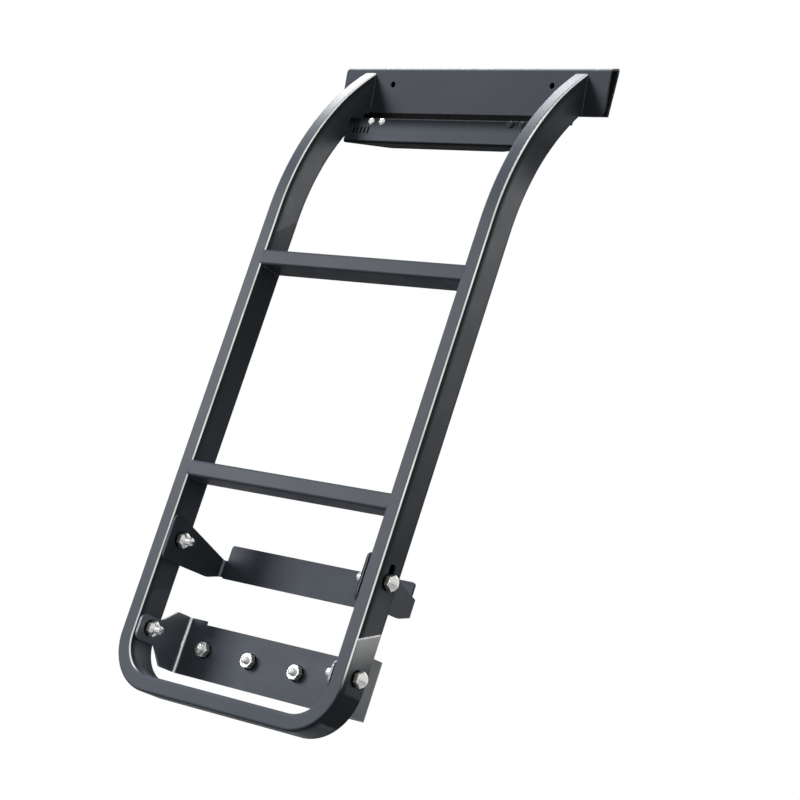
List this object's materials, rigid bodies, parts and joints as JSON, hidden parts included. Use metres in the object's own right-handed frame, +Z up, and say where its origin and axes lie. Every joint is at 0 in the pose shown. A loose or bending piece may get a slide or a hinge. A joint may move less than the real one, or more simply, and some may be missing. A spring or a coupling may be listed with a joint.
{
  "type": "vehicle side ladder",
  "caption": "Bent tube ladder with rungs that hooks over a vehicle's roof gutter and stands off the body on bolted, adjustable steel brackets.",
  "frame": {"origin": "middle of the lower bracket's rear face, on the line of its four bolts", "axes": "+X across the ladder to its right seen from the user, +Y towards the vehicle, +Z up the rails"},
  "size_m": [0.425, 0.109, 0.8709],
  "materials": {
    "paint_anthracite": "satin anthracite powder coat",
    "fastener_bright": "bright plated steel",
    "rubber_black": "matt black edging and washers"
  },
  "bodies": {
    "lower_bracket": {"lower_bracket": "paint_anthracite", "plate_bolt_1": "fastener_bright", "plate_bolt_2": "fastener_bright", "plate_bolt_3": "fastener_bright", "plate_bolt_4": "fastener_bright", "plate_nut_1": "fastener_bright", "plate_nut_2": "fastener_bright", "plate_nut_3": "fastener_bright", "plate_nut_4": "fastener_bright", "plate_washers": "rubber_black", "lower_bolt_left": "fastener_bright", "lower_bolt_right": "fastener_bright", "lower_nut_left": "fastener_bright", "lower_nut_right": "fastener_bright", "lower_washer_left": "rubber_black", "lower_washer_right": "rubber_black", "lower_spacer_left": "rubber_black", "lower_spacer_right": "rubber_black", "lower_inner_washers": "rubber_black"},
    "ladder_frame": {"left_rail": "paint_anthracite", "right_rail": "paint_anthracite", "left_arc": "paint_anthracite", "right_arc": "paint_anthracite", "left_corner": "paint_anthracite", "right_corner": "paint_anthracite", "bottom_bar": "paint_anthracite", "lower_rung": "paint_anthracite", "upper_rung": "paint_anthracite", "gutter_hook": "paint_anthracite", "gutter_jaw": "paint_anthracite", "jaw_trim": "rubber_black", "jaw_screw_left": "fastener_bright", "jaw_screw_right": "fastener_bright"},
    "upper_bolts": {"upper_bolt_left": "fastener_bright", "upper_bolt_right": "fastener_bright", "upper_nut_left": "fastener_bright", "upper_nut_right": "fastener_bright", "upper_washer_left": "rubber_black", "upper_washer_right": "rubber_black", "upper_spacer_left": "rubber_black", "upper_spacer_right": "rubber_black", "upper_inner_washers": "rubber_black"},
    "upper_bracket": {"upper_bracket": "paint_anthracite"}
  },
  "joints": [
    {"name": "ladder_lean", "type": "hinge", "parent": "lower_bracket", "child": "ladder_frame", "pos_m": [0, -0.064, 0.004], "axis": [1, 0, 0], "range_deg": [-8, 8]},
    {"name": "bolt_slide", "type": "slide", "parent": "ladder_frame", "child": "upper_bolts", "axis": [0, 0, 1], "range_m": [0, 0.016]},
    {"name": "bracket_tilt", "type": "hinge", "parent": "upper_bolts", "child": "upper_bracket", "pos_m": [0, -0.064, 0.117], "axis": [1, 0, 0], "range_deg": [-20, 20]}
  ]
}
